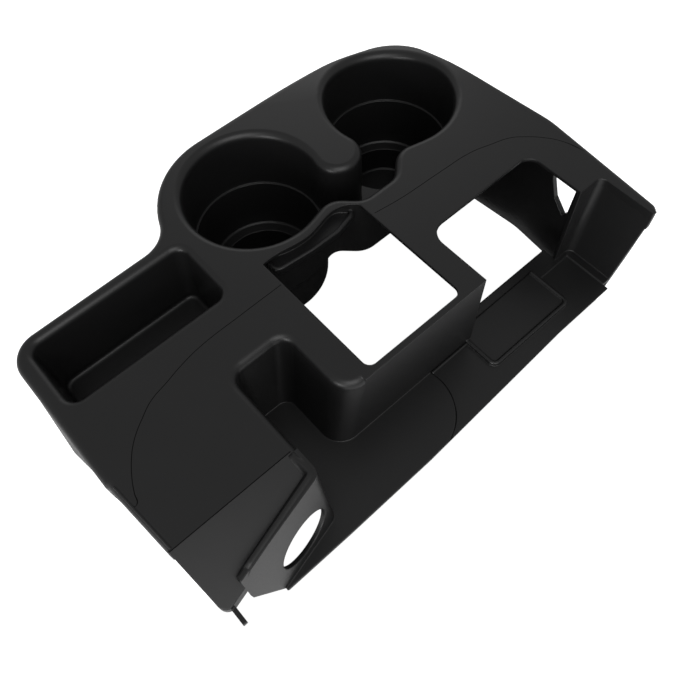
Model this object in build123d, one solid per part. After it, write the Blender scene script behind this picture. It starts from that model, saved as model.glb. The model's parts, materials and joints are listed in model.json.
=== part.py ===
from build123d import *
import os
from math import atan2, cos, degrees, hypot, radians, sin, sqrt, tan

# Car floor-console cup holder: one injection-moulded shell.
# Millimetres, +Z up.  While it is drawn, the deck's top face is z = 0, the middle of the
# left cup is x = y = 0, +X runs to the other cup and -Y to the open shelf.
# The finished shell is set down with the middle of its box over the origin.

# Walls
wall = 2.5
deck_edge_depth = 14.0
deck_edge_round = 4.5
rim_round = 5.0
total_depth = 107.0

# Cups
cup_spacing = 114.7
cup_rim_radius = 43.0
cup_bore_radius = 41.8
cup_foot_radius = 38.6
cup_step_depth = 45.5
cup_ledge_depth = 84.0
cup_ledge_bevel = 1.2
well_top_radius = 30.7
well_foot_radius = 29.6
tub_bevel = 4.0
tub_wall = 4.8
bay_wall = 5.2
well_depth = total_depth - wall

# Handle bay between the cups
bay_near = -52.0
bay_half_width = 12.8
bay_leave_angle = 14.2
bay_shoulder_x = 29.0
bay_shoulder_round = 15.0
bay_corner_round = 12.0
bay_depth = cup_step_depth
nub_centre = -13.0

# Deck outline
left_edge = -169.5
left_step_edge = -168.5
left_step_near = -164.9
left_step_place = -97.0
tray_side_left_y = 2.4
tray_side_right_y = 4.3
waist_low_x = -62.5
waist_high_x = -41.5
cup_side_edge = 54.3
cup_side_middle_x = 25.0
far_bulge_x = 112.0
far_bulge_y = 54.0
far_shoulder_x = 162.9
far_shoulder_y = 42.6
right_far_x = 168.7
right_far_y = -5.0
right_bulge_x = 175.9
right_bulge_y = -86.0
right_near_x = 167.9
near_end = -176.2
crease_y = -145.3
waist_low_round = 22.0
waist_high_round = 58.5
cup_side_round = 150.0
far_bulge_round = 120.0
far_shoulder_round = 34.0
right_far_round = 90.0
right_bulge_round = 60.0
right_near_round = 6.0

# The deck falls away a little towards its far right corner
fall_heading = 56.6
fall_start = 5.0
fall_radius = 180.0
fall_reach = 75.0

# Tray
tray_left = -158.4
tray_right = -57.6
tray_far = -5.4
tray_near = -49.4
tray_depth = 46.5
tray_corner = 7.0
tray_draft = 2.0
tray_rim_round = 4.4
tray_rim_depth = 5.4
tray_floor_round = 3.0

# Square cut-outs
cut_left = -30.3
cut_right = 39.4
cut_near = -137.8
cut_corner = 5.0
side_cut_left = 55.5
side_cut_right = 142.5
side_cut_far = -96.3
side_cut_corner = 9.0
side_cut_left_corner = 11.0
side_cut_near = -145.0

# Lip and gutter behind the left cup
lip_far = -48.6
lip_out = -50.9
lip_waist = -46.8
gutter_depth = 8.0
gutter_edge_left = -55.0
gutter_edge = -57.6
gutter_edge_right = -53.5
gutter_left = -26.0
gutter_right = 36.5
gutter_corner = 5.0
gutter_rim_width = 2.4
gutter_rim_height = 2.6
gutter_rim_round = 1.1

# Shelf
shelf_depth = 68.0
shelf_left = -129.5
shelf_left_x = -85.0
shelf_mid_x = -20.0
shelf_right_x = 102.0
shelf_left_edge = -182.8
shelf_mid_edge = -182.0
shelf_right_edge = -176.6
shelf_far = -127.5
shelf_step = 0.8
shelf_low_end = 150.0
pad_left = 51.0
pad_right = 122.5
pad_far = -134.0
pad_near = -166.5
pad_corner = 5.0
pad_height = 0.6
pad_border_width = 2.6
pad_border_height = 2.0
pad_border_round = 1.1
arc_radius = 34.2
arc_centre_x = -14.1
arc_centre_y = -148.4

# L-shaped pocket
pocket_left = -86.6
pocket_right = -50.2
pocket_far = -91.6
pocket_draft_right = 7.0
pocket_draft = 3.0
pocket_corner = 8.0
pocket_rim_depth = 6.0
pocket_inner_corner = 14.0
pocket_nose_corner = 6.0
long_wall_y = -141.5

# Right-hand pocket
end_pocket_left = 139.5
end_pocket_far = -137.2
end_pocket_right = 160.8
end_pocket_draft = 5.0
end_pocket_corner = 5.0
end_wall_lean = 4.0

# Sloping nose panel and the wall under it
nose_slope = 0.30
nose_edge_depth = 6.0
nose_foot_depth = 12.0
nose_left_far = -164.3
nose_left_near = -161.6
nose_tip_x = -147.3
nose_tip_y = -182.0
nose_end_y = -182.3
nose_wall_angle = 13.7
nose_wall_lean = 5.9
nose_wall_place = -172.0
nose_wall_shoulder_x = -146.8
nose_wall_shoulder_depth = 30.0
nose_wall_x = -118.0
nose_wall_z = -8.0
round_hole_diameter = 36.0
round_hole_x = -108.3
round_hole_z = -43.6

# Tongue at the nose
tongue_width = 2.4
tongue_height = 3.0
tongue_x = -157.0
tongue_root_y = -180.8
tongue_tip_y = -191.2
tongue_depth = 14.8

# Skirts at both ends
left_skirt_near_y = -97.0
left_skirt_foot_x = -180.0
left_skirt_foot_near_x = -168.0
left_skirt_corner = 17.5
left_skirt_return = -120.0
end_skirt_step = 1.9
end_skirt_wall = 3.8
end_skirt_far_top = -4.0
end_skirt_far_foot = -30.0
end_skirt_near_foot = -114.0
end_skirt_near_depth = 94.0
notch_top = -20.0
notch_far_y = -99.6
notch_near_y = -122.7
notch_tip_y = -119.8
notch_tip_depth = 60.0

# Working allowances
over = 1.0
past = 20.0
near_enough = 0.1
rim_lift = 0.03


def plan(points, corners):
    """Return the flat face inside a closed outline with rounded corners."""
    return make_face(FilletPolyline(*points, radius=corners, close=True))


def slab(face, top, bottom):
    """Return the upright block over a plan face, from top down to bottom."""
    return extrude(Pos(0, 0, bottom) * face, top - bottom, dir=(0, 0, 1))


def tapered(top_points, low_points, corners, top, bottom):
    """Return the block that narrows from one outline to another."""
    upper = Pos(0, 0, top) * plan(top_points, corners)
    lower = Pos(0, 0, bottom) * plan(low_points, corners)
    return loft([upper.face(), lower.face()], ruled=True)


def side_profile(points, x_from, x_to):
    """Return a bar along X whose section is given as (y, z) points."""
    face = make_face(Polyline(*[(x_from, y, z) for y, z in points], close=True))
    return extrude(face, x_to - x_from, dir=(1, 0, 0))


def front_profile(points, y_from, y_to):
    """Return a bar along Y whose section is given as (x, z) points."""
    face = make_face(Polyline(*[(x, y_from, z) for x, z in points], close=True))
    return extrude(face, y_to - y_from, dir=(0, 1, 0))


def cup_places():
    """Return the plan places of the two cups."""
    return [(0.0, 0.0), (cup_spacing, 0.0)]


def deck_outline():
    """Return the plan of the deck, from its far edge to the crease and the right end."""
    points = [
        (left_edge, tray_side_left_y),
        (waist_low_x, tray_side_right_y),
        (waist_high_x, cup_side_edge),
        (cup_side_middle_x, cup_side_edge),
        (far_bulge_x, far_bulge_y),
        (far_shoulder_x, far_shoulder_y),
        (right_far_x, right_far_y),
        (right_bulge_x, right_bulge_y),
        (right_near_x, near_end),
        (end_pocket_right - past, near_end),
        (end_pocket_right - past, crease_y),
        (left_step_near, crease_y),
        (left_step_edge, left_step_place - wall),
        (left_edge, left_step_place),
    ]
    corners = [left_skirt_corner, waist_low_round, waist_high_round, cup_side_round]
    corners += [far_bulge_round, far_shoulder_round, right_far_round, right_bulge_round, right_near_round]
    corners += [0] * 5
    return plan(points, corners)


def fall_cutter(depth):
    """Return what is taken off where the deck falls away, for a face so deep under the deck."""
    drop = fall_radius - sqrt(fall_radius**2 - fall_reach**2)
    half = fall_reach / 2
    half_drop = fall_radius - sqrt(fall_radius**2 - half**2)
    curve = ThreePointArc((0, 0, 0), (half, 0, -half_drop), (fall_reach, 0, -drop))
    lid = Polyline(curve @ 0, (0, 0, 3 * over), (fall_reach, 0, 3 * over), curve @ 1)
    bar = extrude(make_face(Curve() + [curve, lid]), 12 * past, dir=(0, 1, 0))
    place = Pos(cup_spacing, 0, -depth) * Rot(0, 0, fall_heading)
    return place * Pos(fall_start, -6 * past, 0) * bar


def deck_mass(outline, top, bottom):
    """Return the block over a plan, from one level under the deck down to another."""
    return slab(outline, -top, -bottom) - fall_cutter(top)


def border_edges(block, outline, floor):
    """Return the block's upper edges that follow an outline."""
    border = outline.face().outer_wire()
    found = []
    for edge in block.edges():
        spot = edge @ 0.5
        low = min((edge @ 0).Z, (edge @ 1).Z)
        if low > floor and border.distance_to(Vertex(spot.X, spot.Y, 0)) < near_enough:
            found.append(edge)
    return found


def deck():
    """Return the deck with its turned-down edge."""
    outline = deck_outline()
    block = deck_mass(outline, 0, deck_edge_depth)
    rim = [
        edge
        for edge in border_edges(block, outline, over - deck_edge_depth)
        if edge.center().Y > crease_y + over or edge.center().X > right_near_x - over
    ]
    block = fillet(rim, deck_edge_round)
    inside = offset(outline, -wall, kind=Kind.INTERSECTION)
    return block - deck_mass(inside, wall, deck_edge_depth + over)


def rim_cutter(face, radius, deep, low_y=-total_depth * 2):
    """Return what is taken off the deck to round the rim of an opening, down to one depth."""
    ring = deck_mass(offset(face, radius + 2 * over), -rim_lift, deep + over)
    ring -= slab(face, over, -deep - past)
    edges = [edge for edge in border_edges(ring, face, -deep) if edge.center().Y > low_y]
    ring = fillet(edges, radius)
    return slab(offset(face, radius + over), over, -deep) - ring


def cup_block(grow):
    """Return the outside (or, with no growth, the inside) of one cup below its step."""
    foot = cup_ledge_depth + grow
    floor = well_depth + grow
    top = 0 if grow else -cup_step_depth + over
    side = tub_wall if grow else 0
    profile = Polyline(
        (0, 0, top),
        (cup_bore_radius + side, 0, top),
        (cup_foot_radius + side, 0, -foot),
        (well_top_radius + grow, 0, -foot),
        (well_foot_radius + grow, 0, -floor),
        (0, 0, -floor),
        close=True,
    )
    body = revolve(make_face(profile), Axis.Z)
    rings = body.edges().filter_by(GeomType.CIRCLE)
    ledge_rings = rings.filter_by_position(Axis.Z, -foot - near_enough, -foot + near_enough)
    bevel = tub_bevel if grow else cup_ledge_bevel
    body = chamfer(ledge_rings.sort_by(SortBy.RADIUS)[-1], bevel)
    floor_ring = body.edges().filter_by(GeomType.CIRCLE).sort_by(Axis.Z)[0]
    return chamfer(floor_ring, bevel)


def bay_plan():
    """Return the joined opening of both cups and the handle bay, smooth all round."""
    middle = cup_spacing / 2
    leave_x = cup_rim_radius * sin(radians(bay_leave_angle))
    leave_y = -cup_rim_radius * cos(radians(bay_leave_angle))
    shoulder_y = leave_y + (bay_shoulder_x - leave_x) * tan(radians(bay_leave_angle))
    near_edge = FilletPolyline(
        (leave_x, leave_y),
        (bay_shoulder_x, shoulder_y),
        (middle - bay_half_width, bay_near),
        (middle + bay_half_width, bay_near),
        (cup_spacing - bay_shoulder_x, shoulder_y),
        (cup_spacing - leave_x, leave_y),
        radius=[bay_shoulder_round, bay_corner_round, bay_corner_round, bay_shoulder_round],
    )
    nub_reach = hypot(middle, nub_centre)
    nub_angle = degrees(atan2(-nub_centre, middle))
    cup_sweep = 360 + bay_leave_angle - 90 + nub_angle
    left_arc = CenterArc((0, 0), cup_rim_radius, -nub_angle, cup_sweep)
    nub_arc = CenterArc(
        (middle, nub_centre), nub_reach - cup_rim_radius, 180 - nub_angle, 180 + 2 * nub_angle
    )
    right_arc = CenterArc((cup_spacing, 0), cup_rim_radius, -90 - bay_leave_angle, cup_sweep)
    return make_face(Curve() + [near_edge, left_arc, nub_arc, right_arc])


def lip_edge():
    """Return the edge of the square cut-out along the lip behind the left cup."""
    return Spline(
        (cut_left, lip_far),
        (-17.6, lip_far - 0.1),
        (2.5, lip_out),
        (22.0, lip_waist),
        (cut_right, lip_out - 3.0),
    )


def square_cut():
    """Return the plan of the square cut-out, with its wavy far edge."""
    wave = lip_edge()
    sides = Polyline(
        wave @ 0,
        (cut_left, cut_near),
        (cut_right, cut_near),
        wave @ 1,
    )
    face = make_face(Curve() + [wave, sides])
    near_corners = [v for v in face.vertices() if v.Y < cut_near + over]
    return fillet(near_corners, cut_corner)


def gutter():
    """Return the low ledge behind the left cup, with a rounded rim along its near edge."""

    def ledge(inward, farther, corner):
        points = [
            (gutter_left + inward, lip_far + farther),
            (gutter_left + inward, gutter_edge_left + inward),
            (0.0, gutter_edge + inward),
            (cut_right / 2, gutter_edge + inward),
            (gutter_right - inward, gutter_edge_right + inward),
            (gutter_right - inward, lip_far + farther),
        ]
        return plan(points, [0, corner, 0, 0, corner, 0])

    base = -gutter_depth - wall
    rim_top = gutter_rim_height - gutter_depth
    rim = slab(ledge(0, 2 * over, gutter_corner), rim_top, base)
    hollow = ledge(gutter_rim_width, 3 * over, gutter_corner - gutter_rim_width)
    rim -= slab(hollow, rim_top + over, base - over)
    top_edges = rim.edges().filter_by_position(Axis.Z, rim_top - near_enough, rim_top + near_enough)
    long_edges = [edge for edge in top_edges if edge.center().Y < lip_far + over]
    rim = fillet(long_edges, gutter_rim_round)
    return rim + slab(ledge(over, 6 * over, gutter_corner - over), -gutter_depth, base)


def nose_wall_y(x, z, out=0.0):
    """Return where the leaning wall under the nose stands, at a place along it."""
    lean = tan(radians(nose_wall_lean))
    turn = tan(radians(nose_wall_angle))
    return nose_wall_place + (x - nose_wall_x) * turn + (z - nose_wall_z) * lean + out


def shelf_ring(z, share, grow):
    """Return the outline of the open space over the shelf at one height, or its walls."""
    left = pocket_left + share * pocket_draft - grow
    far = pocket_far - share * pocket_draft + grow
    right = pocket_right - share * pocket_draft_right + grow
    long_wall = long_wall_y + grow
    end_far = end_pocket_far - share * pocket_draft / 3 + grow
    end_right = end_pocket_right - share * end_pocket_draft + grow
    nose_out = grow / cos(radians(nose_wall_angle))
    far_left = nose_tip_x - (0 if grow else past)
    return [
        (left, far),
        (right, far),
        (right, long_wall),
        (end_pocket_left, long_wall),
        (end_pocket_left, end_far),
        (end_right, end_far),
        (end_right, near_end - past),
        (far_left, near_end - past),
        (far_left, nose_wall_y(far_left, z, nose_out)),
        (left, nose_wall_y(left, z, nose_out)),
    ]


def shelf_well(grow):
    """Return the open space over the shelf, or with growth the block that holds it."""
    inner = pocket_inner_corner
    corner = pocket_corner
    corners = [corner + grow, corner + grow, inner - grow, 0, 0, end_pocket_corner + grow]
    corners += [0, 0, 0, pocket_nose_corner]
    foot = shelf_ring(-shelf_depth, 1, grow)
    if grow:
        return tapered(shelf_ring(0, 0, grow), foot, corners, 0, -shelf_depth - grow)
    rim = shelf_ring(-pocket_rim_depth, 0, 0)
    upper = tapered(shelf_ring(over, 0, 0), rim, corners, over, -pocket_rim_depth)
    return upper + tapered(rim, foot, corners, -pocket_rim_depth, -shelf_depth)


def pocket_rim():
    """Return the plan whose far part is the rim of the L-shaped pocket."""
    end = pocket_right + pocket_inner_corner
    points = [
        (pocket_left, pocket_far),
        (pocket_right, pocket_far),
        (pocket_right, long_wall_y),
        (end, long_wall_y),
        (end, crease_y - over),
        (pocket_left, crease_y - over),
    ]
    corner = pocket_corner
    return plan(points, [corner, corner, pocket_inner_corner - near_enough, 0, 0, 0])


def shelf_near_cutter():
    """Return all that lies on the near side of the shelf's edge."""
    points = [
        (shelf_left - past, shelf_left_edge),
        (shelf_left_x, shelf_left_edge),
        (shelf_mid_x, shelf_mid_edge),
        (shelf_right_x, shelf_right_edge),
        (right_bulge_x + past, shelf_right_edge + 0.5),
        (right_bulge_x + past, near_end - 3 * past),
        (shelf_left - past, near_end - 3 * past),
    ]
    return slab(plan(points, [0] * 7), over, -total_depth)


def shelf_block():
    """Return the solid block around the shelf's well, before the well is cut."""
    block = shelf_well(wall) - shelf_near_cutter()
    side = slab(
        plan(
            [
                (side_cut_left, long_wall_y - past),
                (side_cut_left, shelf_far),
                (end_pocket_left + wall, shelf_far),
                (end_pocket_left + wall, long_wall_y - past),
            ],
            [0] * 4,
        ),
        -shelf_depth,
        -shelf_depth - wall,
    )
    open_end = front_profile(
        [
            (nose_tip_x - past, -nose_foot_depth),
            (nose_tip_x - 1, -nose_foot_depth),
            (nose_wall_shoulder_x, -nose_wall_shoulder_depth),
            (shelf_left, -shelf_depth - wall),
            (shelf_left, -total_depth),
            (nose_tip_x - past, -total_depth),
        ],
        near_end - past,
        nose_wall_place + past,
    )
    near_lean = side_profile(
        [
            (near_end, over),
            (near_end, 0),
            (near_end + end_wall_lean, -shelf_depth - 2 * wall),
            (near_end - past, -shelf_depth - 2 * wall),
            (near_end - past, over),
        ],
        shelf_low_end,
        right_bulge_x + past,
    )
    return block + side - open_end - near_lean


def side_cut():
    """Return the opening beside the right-hand pocket."""
    points = [
        (side_cut_left, side_cut_far),
        (side_cut_right, side_cut_far),
        (side_cut_right, end_pocket_far + 1.2),
        (end_pocket_left, end_pocket_far - 3.0),
        (end_pocket_left, side_cut_near),
        (side_cut_left, side_cut_near),
    ]
    corners = [side_cut_left_corner, side_cut_corner, 0, 0, 0, 0]
    return slab(plan(points, corners), over, -shelf_depth)


def tray_ring(share, grow):
    """Return the tray's outline at the deck (share 0) or at its floor (share 1)."""
    draft = share * tray_draft
    return [
        (tray_left + draft - grow, tray_far - draft + grow),
        (tray_right - draft + grow, tray_far - draft + grow),
        (tray_right - draft + grow, tray_near + draft - grow),
        (tray_left + draft - grow, tray_near + draft - grow),
    ]


def tray_block(grow):
    """Return the inside of the tray, or with growth its outside."""
    top = 0 if grow else tray_rim_depth
    corners = [tray_corner + grow] * 4
    body = tapered(tray_ring(0, grow), tray_ring(1, grow), corners, -top, -tray_depth - grow)
    floor_edges = body.faces().sort_by(Axis.Z)[0].edges()
    if grow:
        return chamfer(floor_edges, tub_bevel)
    return fillet(floor_edges, tray_floor_round)


def nose():
    """Return the sloping panel in front of the crease, with its turned-down sides."""
    drop = (crease_y - nose_tip_y) * nose_slope
    slope = side_profile(
        [
            (crease_y + over, 0),
            (crease_y, 0),
            (nose_tip_y - 4, -drop - 4 * nose_slope),
            (nose_tip_y - 4, -drop - 4 * nose_slope - nose_edge_depth),
            (crease_y, -nose_edge_depth),
            (crease_y + over, -nose_edge_depth),
        ],
        left_edge - past,
        pocket_left + past,
    )
    outline = plan(
        [
            (nose_left_far, crease_y + over),
            (nose_left_near, nose_end_y),
            (nose_tip_x, nose_tip_y),
            (nose_tip_x + 3.6, nose_wall_y(nose_tip_x + 3.6, 0) + 0.6),
            (pocket_left - wall, nose_wall_y(pocket_left - wall, 0) + 0.6),
            (pocket_left - wall, crease_y + over),
        ],
        [0, 5, 3, 3, 7, 0],
    )
    block = slab(outline, over, -total_depth) & slope
    inside = slab(offset(outline, -wall, kind=Kind.INTERSECTION), over, -total_depth)
    return block - (inside & Pos(0, 0, -wall) * slope)


def left_skirt():
    """Return the wall that flares from the deck's left end down to the foot."""

    def ring(side, near):
        return [
            (near, left_skirt_near_y),
            (side, tray_side_left_y),
            (left_skirt_return, tray_side_left_y),
            (left_skirt_return, tray_side_left_y - wall),
            (side + wall, tray_side_left_y - wall),
            (near + wall, left_skirt_near_y),
        ]

    corners = [0, left_skirt_corner, 0, 0, left_skirt_corner - wall, 0]
    top = ring(left_edge, left_edge)
    foot = ring(left_skirt_foot_x, left_skirt_foot_near_x)
    return tapered(top, foot, corners, -deck_edge_depth, -total_depth)


def end_skirt():
    """Return the right end wall under the deck's edge, with its teardrop opening."""
    outline = deck_outline()
    outside = offset(outline, -end_skirt_step, kind=Kind.INTERSECTION)
    inside = offset(outline, -end_skirt_step - end_skirt_wall, kind=Kind.INTERSECTION)
    band = slab(outside, -end_skirt_step, -total_depth) - slab(inside, 0, -total_depth - over)
    keep = side_profile(
        [
            (end_skirt_far_top, 0),
            (end_skirt_far_foot, -total_depth - over),
            (end_skirt_near_foot, -total_depth - over),
            (near_end + 7, -end_skirt_near_depth),
            (near_end, 0),
        ],
        end_pocket_right + 1.0,
        right_bulge_x + past,
    )
    notch = side_profile(
        [
            (notch_far_y, notch_top),
            (notch_far_y - 4.5, -38),
            (notch_far_y - 10, -51),
            (notch_tip_y, -notch_tip_depth),
            (notch_near_y, -notch_tip_depth + 5),
            (notch_near_y - 0.5, notch_top),
        ],
        end_pocket_right,
        right_bulge_x + past,
    )
    return (band & keep) - notch


def nose_hole():
    """Return the drill for the round opening in the leaning wall."""
    turn = tan(radians(nose_wall_angle))
    lean = tan(radians(nose_wall_lean))
    centre = (round_hole_x, nose_wall_y(round_hole_x, round_hole_z), round_hole_z)
    face = Plane(origin=centre, z_dir=(turn, -1, lean))
    return face * Cylinder(round_hole_diameter / 2, 6 * wall)


def shelf_pad():
    """Return the low raised panel on the shelf, with a rounded border on three sides."""

    def panel(inward, farther, corner):
        points = [
            (pad_left + inward, pad_far + farther),
            (pad_right - inward, pad_far + farther),
            (pad_right - inward, pad_near + inward),
            (pad_left + inward, pad_near + inward),
        ]
        return plan(points, [0, 0, corner, corner])

    base = -shelf_depth - wall
    border_top = pad_border_height - shelf_depth
    border = slab(panel(0, 0, pad_corner), border_top, base)
    hollow = panel(pad_border_width, over, pad_corner - pad_border_width)
    border -= slab(hollow, border_top + over, base - over)
    levels = (border_top - near_enough, border_top + near_enough)
    top_edges = border.edges().filter_by_position(Axis.Z, *levels)
    long_edges = [edge for edge in top_edges if edge.center().Y < pad_far - near_enough]
    border = fillet(long_edges, pad_border_round)
    return border + slab(panel(over, 0, pad_corner - over), pad_height - shelf_depth, base)


def shelf_low_part():
    """Return the shallow cut that leaves the curved step across the shelf."""
    points = [
        (arc_centre_x, long_wall_y),
        (shelf_low_end, long_wall_y),
        (shelf_low_end, near_end - past),
        (arc_centre_x, near_end - past),
    ]
    face = plan(points, [0] * 4) - Pos(arc_centre_x, arc_centre_y) * Circle(arc_radius)
    return slab(face, over - shelf_depth, -shelf_depth - shelf_step)


def tongue():
    """Return the locating tongue that sticks out of the nose's near edge."""
    length = tongue_root_y - tongue_tip_y
    middle = (tongue_root_y + tongue_tip_y) / 2
    return Pos(tongue_x, middle, -tongue_depth) * Box(tongue_width, length, tongue_height)


def console_shell():
    """Return the whole moulding in its drawing place."""
    shell = deck() - slab(square_cut(), over, -deck_edge_depth) - side_cut()
    masses = [tray_block(wall), slab(offset(bay_plan(), bay_wall), 0, -bay_depth - wall), gutter()]
    masses += [Pos(x, y) * cup_block(wall) for x, y in cup_places()]
    masses += [shelf_block(), nose(), left_skirt(), end_skirt()]
    for mass in masses:
        shell = shell + mass
    voids = [tray_block(0), slab(bay_plan(), over, -bay_depth)]
    voids += [Pos(x, y) * cup_block(0) for x, y in cup_places()]
    voids += [shelf_well(0), side_cut(), shelf_low_part(), nose_hole()]
    voids.append(rim_cutter(bay_plan(), rim_round, deck_edge_depth))
    voids.append(rim_cutter(plan(tray_ring(0, 0), [tray_corner] * 4), tray_rim_round, tray_rim_depth))
    voids.append(rim_cutter(pocket_rim(), rim_round, pocket_rim_depth, long_wall_y))
    for void in voids:
        shell = shell - void
    return shell + shelf_pad() + tongue()


shell = console_shell()
box = shell.bounding_box()
shell = Pos(-box.center().X, -box.center().Y, -box.min.Z) * shell
shell.label = "console_shell"
os.makedirs("parts", exist_ok=True)
export_step(shell, "parts/console_shell.step")
print(box.min, box.max, shell.volume, len(shell.solids()), shell.is_valid)
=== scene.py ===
"""Looks of the car cup holder, in metres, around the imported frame."""
import json
from math import radians

import bmesh
import bpy
from mathutils import Matrix, Vector
from mathutils.geometry import interpolate_bezier


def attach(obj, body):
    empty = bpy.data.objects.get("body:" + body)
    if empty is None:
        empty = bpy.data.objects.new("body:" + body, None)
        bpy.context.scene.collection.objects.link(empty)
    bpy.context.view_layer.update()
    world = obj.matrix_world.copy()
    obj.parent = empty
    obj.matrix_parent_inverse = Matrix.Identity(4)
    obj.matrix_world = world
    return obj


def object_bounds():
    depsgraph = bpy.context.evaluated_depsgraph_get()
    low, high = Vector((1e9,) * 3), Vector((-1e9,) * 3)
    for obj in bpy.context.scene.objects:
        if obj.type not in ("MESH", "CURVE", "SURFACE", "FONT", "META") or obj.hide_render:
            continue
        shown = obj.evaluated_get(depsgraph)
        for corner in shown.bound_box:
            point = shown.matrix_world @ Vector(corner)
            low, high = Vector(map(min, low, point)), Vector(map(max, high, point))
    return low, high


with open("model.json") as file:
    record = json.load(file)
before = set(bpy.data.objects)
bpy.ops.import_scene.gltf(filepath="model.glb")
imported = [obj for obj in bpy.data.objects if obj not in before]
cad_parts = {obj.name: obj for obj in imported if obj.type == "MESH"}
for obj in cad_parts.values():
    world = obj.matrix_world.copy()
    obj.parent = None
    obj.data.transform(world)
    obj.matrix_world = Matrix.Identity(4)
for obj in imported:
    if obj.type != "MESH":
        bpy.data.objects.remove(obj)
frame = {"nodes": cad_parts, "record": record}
cad_low, cad_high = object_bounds()

# The drawing point is the left cup's axis at the deck's top: everything is placed from it.
rest_face = next(m for m in frame["record"]["mounts"] if m["name"] == "rest_face")
drawing_point = Vector((rest_face["pos_m"][0], rest_face["pos_m"][1], cad_high.z))

# Camera, as fitted to the photograph
camera_place = Vector((-0.14855, -0.26023, 0.34618))
camera_heading = -39.137
camera_tilt = 28.424
camera_roll = -2.829
camera_lens = 38.865
camera_sensor = 36.0
camera_clip = 0.01

# Black plastic: it wanders between two shades, with a fine grain and softened edges
plastic_colour = (0.0076, 0.0076, 0.0078, 1.0)
plastic_pale = (0.0098, 0.0098, 0.0100, 1.0)
plastic_roughness = (0.33, 0.43)
plastic_gloss = 0.46
mottle_size = 0.035
mottle_detail = 3
grain_size = 0.0009
grain_detail = 2
grain_height = 0.00002
edge_softness = 0.0012
edge_samples = 8

# Dark colour of the witness lines, the nose bend and the shelf arc: painted shade, as in a narrow
# groove along each
line_shade_colour = (0.0010, 0.0010, 0.0010, 1.0)
line_roughness = 0.6
line_gloss = 0.1

# Places on the shell, from the drawing point
nose_start = -0.1453
nose_fall = 0.303
long_wall_foot = -0.1425
shelf_top = -0.0680
arc_top = -0.0682

# Every line is a round bar, sunk until only its top stands out
bar_sides = 3
bar_steps = 6

# Witness lines of the mould, and the bend at the nose: low bars in painted shade
line_radius = 0.00034
line_rise = 0.00010
left_seam = [
    (-0.1650, -0.1160, -0.0003),
    (-0.1625, -0.1164, 0),
    (-0.1602, -0.1109, 0),
    (-0.1573, -0.1046, 0),
    (-0.1510, -0.0947, 0),
    (-0.1460, -0.0890, 0),
    (-0.1410, -0.0848, 0),
    (-0.1353, -0.0810, 0),
    (-0.1265, -0.0759, 0),
    (-0.1135, -0.0725, 0),
    (-0.1040, -0.0700, 0),
    (-0.0887, -0.0674, 0),
    (-0.0600, -0.0666, 0),
    (-0.0312, -0.0663, 0),
]
right_seam = [
    (0.0415, -0.0650, 0),
    (0.0600, -0.0674, 0),
    (0.0927, -0.0690, 0),
    (0.1173, -0.0708, 0),
    (0.1308, -0.0746, 0),
    (0.1443, -0.0794, 0),
    (0.1520, -0.0855, 0),
    (0.1582, -0.0919, 0),
    (0.1650, -0.1023, 0),
    (0.1686, -0.1148, 0),
    (0.1698, -0.1280, -0.0008),
]
nose_crease = [(-0.1640, nose_start, 0), (-0.1270, nose_start, 0), (-0.0903, nose_start, 0)]

# Arc on the shelf: a low bar in painted shade
arc_radius = 0.0008
shelf_arc = [
    (0.0195, -0.1419, arc_top),
    (0.0196, -0.1543, arc_top),
    (0.0155, -0.1655, arc_top),
    (0.0079, -0.1746, arc_top),
    (-0.0024, -0.1805, arc_top),
]

# Beads: on the deck's edge at its left end, and at the long wall's foot
bead_rise = 0.0004
edge_radius = 0.0006
edge_bead = [(-0.1660, -0.1012, -0.0002), (-0.1642, -0.1230, -0.0002), (-0.1625, -0.1446, -0.0002)]
foot_radius = 0.0012
foot_bead = [(x, long_wall_foot, shelf_top) for x in (0.0200, 0.0360, 0.0520)]

# Blend from the nose panel up to the leaning wall's top: its route, round one corner
blend_start = Vector((-0.1475, -0.1774))
blend_corner = Vector((-0.0885, -0.1615))
blend_end = Vector((-0.0885, -0.1462))
blend_turn = 0.007
blend_toe = 0.0060
blend_run_steps = 16
blend_turn_steps = 12
blend_end_steps = 4

# Section of the blend: a soft climb, a nearly flat crest and a short drop outside
blend_width = 0.0046
blend_top_share = 0.38
blend_crest = 0.0007
blend_crest_fall = 0.5
blend_outside = 0.0015
blend_under_share = 0.5
blend_drop = 0.0010
blend_sink = 0.0010
blend_section_steps = 10

# Stage: the floor glows for the camera, glows a little for glossy rays outside the shell as a
# painted reflection, and is dark and dull under the shell as a painted shadow
white = (1, 1, 1, 1)
floor_size = 6.0
floor_colour = (0.86, 0.86, 0.86, 1.0)
floor_shade = (0.02, 0.02, 0.02, 1.0)
floor_roughness = 0.9
floor_glow = 1.0
floor_sheen = 0.2
shade_half = (0.165, 0.115)
world_strength = 0.385

# Lamps: place, target, width and watts
lamps = {
    "front_lamp": ((-0.44, -1.02, 1.17), (0, 0, 0.1), 1.2, 10),
    "back_lamp": ((0.9, 1.2, 0.8), (0.1, 0, 0.1), 1.0, 2.0),
    "side_lamp": ((-1.4, -0.6, 0.3), (0, 0, 0.05), 0.6, 8),
}

# Sockets of a Mix node that mixes colours
mix_low, mix_high, mix_result = 6, 7, 2


def new_object(name, data):
    """Put one new object in the scene."""
    item = bpy.data.objects.new(name, data)
    bpy.context.scene.collection.objects.link(item)
    return item


def new_material(name):
    """Return a new node material, its nodes, its links and its shader."""
    material = bpy.data.materials.new(name)
    material.use_nodes = True
    tree = material.node_tree
    return material, tree.nodes, tree.links, tree.nodes["Principled BSDF"]


def add_noise(nodes, links, place, size, detail):
    """Add a noise of one size, in metres, and return its output."""
    noise = nodes.new("ShaderNodeTexNoise")
    noise.inputs["Scale"].default_value = 1 / size
    noise.inputs["Detail"].default_value = detail
    links.new(place, noise.inputs["Vector"])
    return noise.outputs["Fac"]


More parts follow.
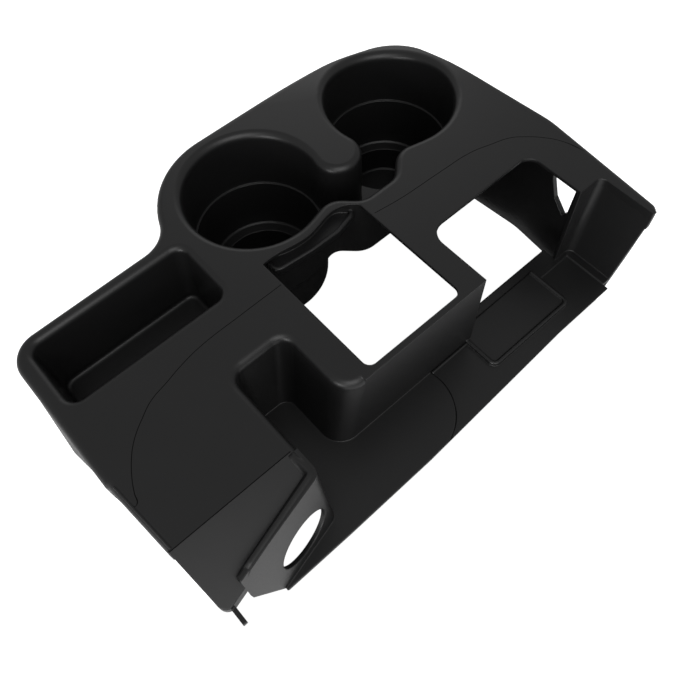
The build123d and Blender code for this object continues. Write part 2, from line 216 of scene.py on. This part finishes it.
def add_mix(nodes, links, share, low, high):
    """Mix two colours by a share and return the output."""
    mix = nodes.new("ShaderNodeMix")
    mix.data_type = "RGBA"
    links.new(share, mix.inputs["Factor"])
    mix.inputs[mix_low].default_value = low
    mix.inputs[mix_high].default_value = high
    return mix.outputs[mix_result]


def add_math(nodes, links, operation, *values):
    """Add one sum on numbers and outputs, and return its output."""
    step = nodes.new("ShaderNodeMath")
    step.operation = operation
    for slot, value in zip(step.inputs, values):
        if isinstance(value, (int, float)):
            slot.default_value = value
        else:
            links.new(value, slot)
    return step.outputs["Value"]


def grained_plastic(name):
    """Return the satin black plastic, with its fine moulded grain and softened edges."""
    material, nodes, links, shader = new_material(name)
    place = nodes.new("ShaderNodeTexCoord").outputs["Object"]

    mottle = add_noise(nodes, links, place, mottle_size, mottle_detail)
    tint = add_mix(nodes, links, mottle, plastic_colour, plastic_pale)
    links.new(tint, shader.inputs["Base Color"])

    grain = add_noise(nodes, links, place, grain_size, grain_detail)
    rough = nodes.new("ShaderNodeMapRange")
    rough.inputs["To Min"].default_value = plastic_roughness[0]
    rough.inputs["To Max"].default_value = plastic_roughness[1]
    links.new(grain, rough.inputs["Value"])
    links.new(rough.outputs["Result"], shader.inputs["Roughness"])

    soft = nodes.new("ShaderNodeBevel")
    soft.samples = edge_samples
    soft.inputs["Radius"].default_value = edge_softness
    bump = nodes.new("ShaderNodeBump")
    bump.inputs["Distance"].default_value = grain_height
    links.new(grain, bump.inputs["Height"])
    links.new(soft.outputs["Normal"], bump.inputs["Normal"])
    links.new(bump.outputs["Normal"], shader.inputs["Normal"])

    shader.inputs["Specular IOR Level"].default_value = plastic_gloss
    return material


def painted_line_shade(name):
    """Return the near-black material of the witness lines, the nose bend and the shelf arc:
    painted shade for their grooves.
    """
    material, _, _, shader = new_material(name)
    shader.inputs["Base Color"].default_value = line_shade_colour
    shader.inputs["Roughness"].default_value = line_roughness
    shader.inputs["Specular IOR Level"].default_value = line_gloss
    return material


def add_line(name, points, material, radius, rise):
    """Lay one round bar along points on the shell, sunk so that it only rises a little."""
    curve = bpy.data.curves.new(name, "CURVE")
    curve.dimensions = "3D"
    curve.bevel_depth = radius
    curve.bevel_resolution = bar_sides
    curve.resolution_u = bar_steps
    curve.use_fill_caps = True
    spline = curve.splines.new("BEZIER")
    spline.bezier_points.add(len(points) - 1)
    for knot, point in zip(spline.bezier_points, points):
        knot.co = drawing_point + Vector(point) - Vector((0, 0, radius - rise))
        knot.handle_left_type = "AUTO"
        knot.handle_right_type = "AUTO"
    holder = new_object(name, curve)
    bpy.context.view_layer.update()
    mesh = bpy.data.meshes.new_from_object(holder)
    bpy.data.objects.remove(holder)
    mesh.materials.clear()
    mesh.materials.append(material)
    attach(new_object(name, mesh), "root")


def panel_height(y):
    """Return the height of the sloping nose panel at one place along its slope."""
    return min(0, nose_fall * (y - nose_start))


def blend_path():
    """Return the places along the leaning wall's top, round its corner."""
    turn_in = blend_corner + (blend_start - blend_corner).normalized() * blend_turn
    turn_out = blend_corner + (blend_end - blend_corner).normalized() * blend_turn
    run = [
        blend_start.lerp(turn_in, step / blend_run_steps) for step in range(blend_run_steps)
    ]
    bend = interpolate_bezier(turn_in, blend_corner, blend_corner, turn_out, blend_turn_steps)
    rest = [
        turn_out.lerp(blend_end, step / blend_end_steps)
        for step in range(1, blend_end_steps + 1)
    ]
    return run + [place.to_2d() for place in bend] + rest


def blend_section(place, inward, share):
    """Return one section of the blend, from the panel over the crest and back underneath.

    The share is the part of its full height that the blend has at this place.
    """
    section = []
    crest = panel_height(place.y) * (1 - share) + blend_crest * share
    for step in range(blend_section_steps + 1):
        part = step / blend_section_steps
        spot = place + inward * blend_width * (1 - part)
        low = panel_height(spot.y)
        climb = min(1, part / (1 - blend_top_share))
        rise = climb * climb * (3 - 2 * climb)
        along_top = max(0, part + blend_top_share - 1) / blend_top_share
        fall = blend_crest * blend_crest_fall * share * along_top
        section.append(Vector((spot.x, spot.y, low + (crest - low) * rise - fall)))
    inner, top = section[0], section[-1].z
    outer = place - inward * blend_outside
    section.append(Vector((outer.x, outer.y, top - blend_drop)))
    under = place - inward * blend_outside * blend_under_share
    section.append(Vector((under.x, under.y, top - blend_drop - blend_sink)))
    section.append(Vector((inner.x, inner.y, inner.z - blend_sink)))
    return section


def sweep_faces(rows, ring):
    """Return the faces of a closed sweep: rows of sections, and a cap at each end."""
    faces = []
    for row in range(rows - 1):
        for side in range(ring):
            here, beside = row * ring + side, row * ring + (side + 1) % ring
            faces.append((here, beside, beside + ring, here + ring))
    faces.append(tuple(range(ring)))
    faces.append(tuple(reversed(range((rows - 1) * ring, rows * ring))))
    return faces


def add_nose_blend(name, material):
    """Sweep the soft blend that joins the nose panel to the leaning wall's top."""
    path = blend_path()
    points = []
    for index, place in enumerate(path):
        before = path[max(index - 1, 0)]
        after = path[min(index + 1, len(path) - 1)]
        along = (after - before).normalized()
        inward = Vector((-along.y, along.x))
        to_end = min((place - blend_start).length, (place - blend_end).length)
        points += blend_section(place, inward, min(1, to_end / blend_toe))
    mesh = bpy.data.meshes.new(name)
    faces = sweep_faces(len(path), len(points) // len(path))
    mesh.from_pydata([drawing_point + point for point in points], [], faces)
    work = bmesh.new()
    work.from_mesh(mesh)
    bmesh.ops.recalc_face_normals(work, faces=work.faces)
    work.to_mesh(mesh)
    work.free()
    mesh.shade_smooth()
    mesh.materials.append(material)
    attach(new_object(name, mesh), "root")


def under_shell(nodes, links):
    """Return a mask that is 1 on the floor under the shell, where little light comes and a painted
    shadow is laid.
    """
    split = nodes.new("ShaderNodeSeparateXYZ")
    links.new(nodes.new("ShaderNodeTexCoord").outputs["Object"], split.inputs["Vector"])
    sides = []
    for axis, half in zip("XY", shade_half):
        out = add_math(nodes, links, "ABSOLUTE", split.outputs[axis])
        sides.append(add_math(nodes, links, "LESS_THAN", out, half))
    return add_math(nodes, links, "MULTIPLY", *sides)


def stage_floor():
    """Lay the pale floor that the shell stands on."""
    bpy.ops.mesh.primitive_plane_add(size=floor_size, location=(0, 0, 0))
    floor = bpy.context.object
    floor.name = "floor"
    material, nodes, links, shader = new_material("floor_white")

    # Painted shadow: the floor's colour turns near-black under the shell
    shadow = under_shell(nodes, links)
    tone = add_mix(nodes, links, shadow, floor_colour, floor_shade)
    links.new(tone, shader.inputs["Base Color"])
    shader.inputs["Roughness"].default_value = floor_roughness

    path = nodes.new("ShaderNodeLightPath")
    # Painted reflection: outside the shell the floor glows a little for glossy rays, which puts a
    # sheen on the shell's walls
    sheen = add_math(nodes, links, "MULTIPLY", path.outputs["Is Glossy Ray"], floor_sheen)
    in_open = add_math(nodes, links, "SUBTRACT", 1.0, shadow)
    open_sheen = add_math(nodes, links, "MULTIPLY", sheen, in_open)
    seen = path.outputs["Is Camera Ray"]
    glow = add_math(nodes, links, "MULTIPLY_ADD", seen, floor_glow, open_sheen)
    shader.inputs["Emission Color"].default_value = white
    links.new(glow, shader.inputs["Emission Strength"])

    floor.data.materials.append(material)


def light_world():
    """Give the world a plain pale light."""
    world = bpy.data.worlds.new("studio")
    world.use_nodes = True
    ground = world.node_tree.nodes["Background"]
    ground.inputs["Color"].default_value = white
    ground.inputs["Strength"].default_value = world_strength
    bpy.context.scene.world = world


def add_lamp(name, place, target, size, watts):
    """Hang one square soft lamp that faces a target."""
    data = bpy.data.lights.new(name, "AREA")
    data.shape = "SQUARE"
    data.size = size
    data.energy = watts
    lamp = new_object(name, data)
    lamp.location = place
    lamp.rotation_euler = (Vector(target) - Vector(place)).to_track_quat("-Z", "Y").to_euler()


def look_from(heading, tilt, roll):
    """Return the turn of a camera that points down, then rolls, tilts and heads."""
    turn = Matrix.Rotation(radians(heading), 4, "Z")
    turn = turn @ Matrix.Rotation(radians(tilt), 4, "X")
    return turn @ Matrix.Rotation(radians(roll), 4, "Z")


def add_camera():
    """Stand the camera where the photograph was taken from."""
    data = bpy.data.cameras.new("camera")
    data.lens = camera_lens
    data.sensor_width = camera_sensor
    data.sensor_fit = "HORIZONTAL"
    data.clip_start = camera_clip
    camera = new_object("camera", data)
    spot = Matrix.Translation(drawing_point + camera_place)
    camera.matrix_world = spot @ look_from(camera_heading, camera_tilt, camera_roll)
    bpy.context.scene.camera = camera


black = grained_plastic("black_plastic")
shell = frame["nodes"]["console_shell"]
shell.data.materials.clear()
shell.data.materials.append(black)

# The line bars are real low ridges; their near-black colour is painted shade
dark = painted_line_shade("witness_line_painted_shade")
add_line("left_seam", left_seam, dark, line_radius, line_rise)
add_line("right_seam", right_seam, dark, line_radius, line_rise)
add_line("nose_crease", nose_crease, dark, line_radius, line_rise)
add_line("shelf_arc", shelf_arc, dark, arc_radius, line_rise)
add_line("edge_bead", edge_bead, black, edge_radius, bead_rise)
add_line("foot_bead", foot_bead, black, foot_radius, bead_rise)
add_nose_blend("nose_blend", black)

stage_floor()
light_world()
for lamp_name, settings in lamps.items():
    add_lamp(lamp_name, *settings)
add_camera()
bpy.context.scene.view_settings.view_transform = "Standard"
